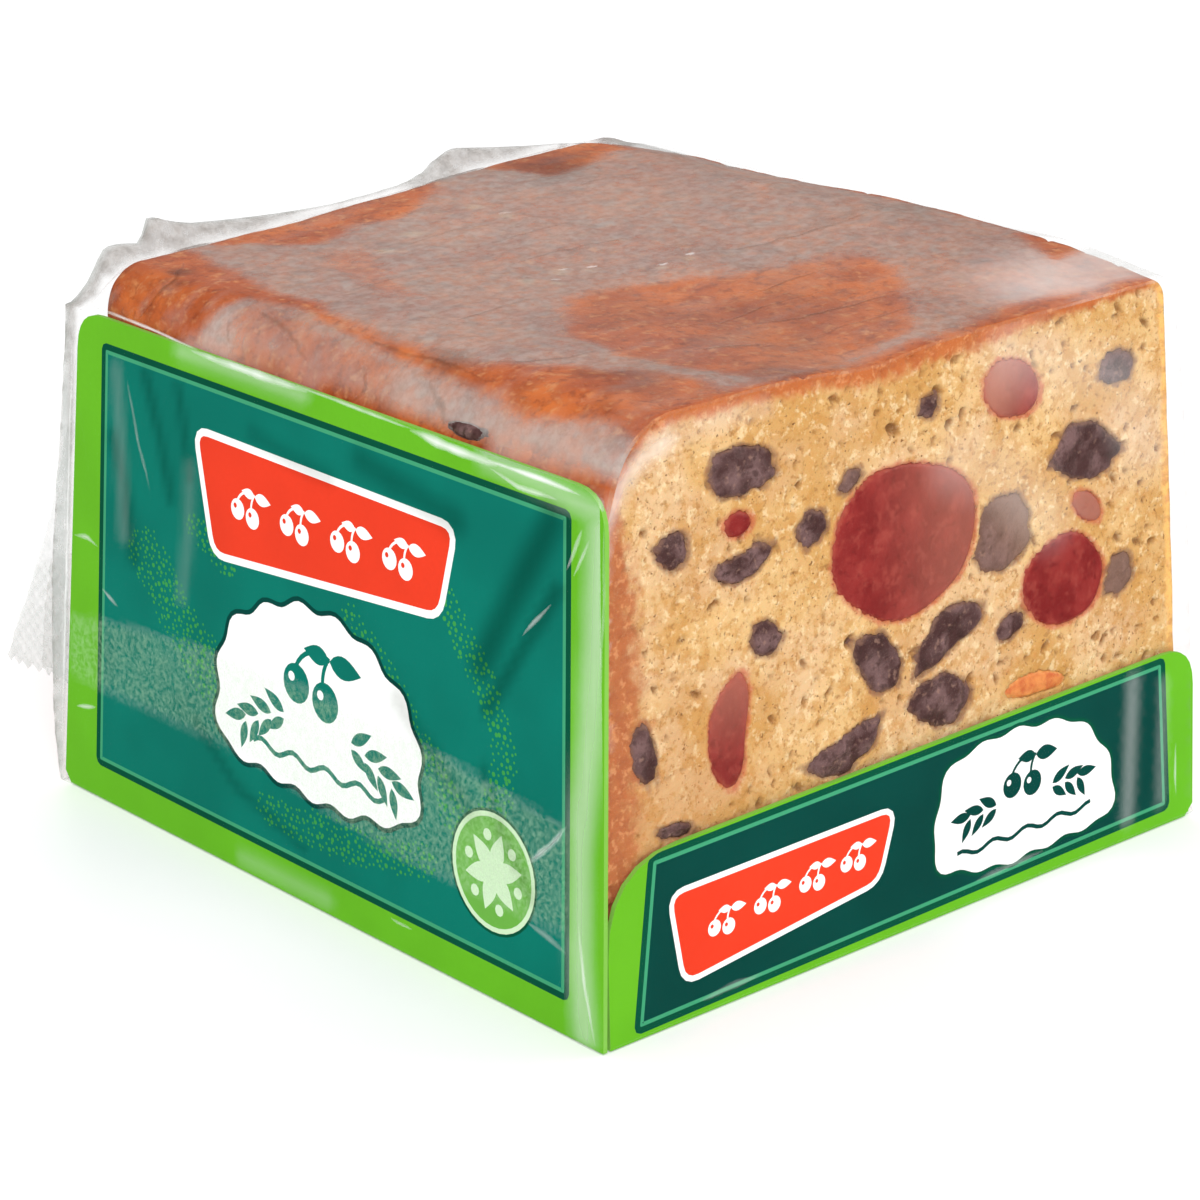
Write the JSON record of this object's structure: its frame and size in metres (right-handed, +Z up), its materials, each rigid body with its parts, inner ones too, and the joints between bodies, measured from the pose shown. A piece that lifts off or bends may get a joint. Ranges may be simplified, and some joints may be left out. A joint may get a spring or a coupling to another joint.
{
  "type": "fruit cake loaf block in clear film on a printed card",
  "caption": "Block of fruit cake with one cut face, standing on a folded card with a side panel and a short front lip, wrapped in clear film sealed at the back.",
  "frame": {"origin": "centre of the card base's underside", "axes": "-Y out of the cut face, -X out of the tall side panel, +Z up"},
  "size_m": [0.0842, 0.0989, 0.0624],
  "materials": {
    "cake": "soft sponge crumb with a thin baked crust",
    "card": "smooth printed board",
    "film": "clear glossy packing film",
    "cherry": "moist glazed fruit",
    "raisin": "wrinkled dried fruit",
    "peel": "moist candied peel"
  },
  "bodies": {
    "root": {"cake": "cake", "card_tray": "card", "film_end": "film", "cherry_1": "cherry", "cherry_2": "cherry", "cherry_3": "cherry", "cherry_4": "cherry", "cherry_5": "cherry", "cherry_6": "cherry", "raisin_1": "raisin", "raisin_2": "raisin", "raisin_3": "raisin", "raisin_4": "raisin", "raisin_5": "raisin", "raisin_6": "raisin", "raisin_7": "raisin", "raisin_8": "raisin", "raisin_9": "raisin", "raisin_10": "raisin", "raisin_11": "raisin", "raisin_12": "raisin", "raisin_13": "raisin", "raisin_14": "raisin", "raisin_15": "raisin", "raisin_16": "raisin", "raisin_17": "raisin", "raisin_18": "raisin", "raisin_side": "raisin", "peel_1": "peel"}
  },
  "joints": []
}
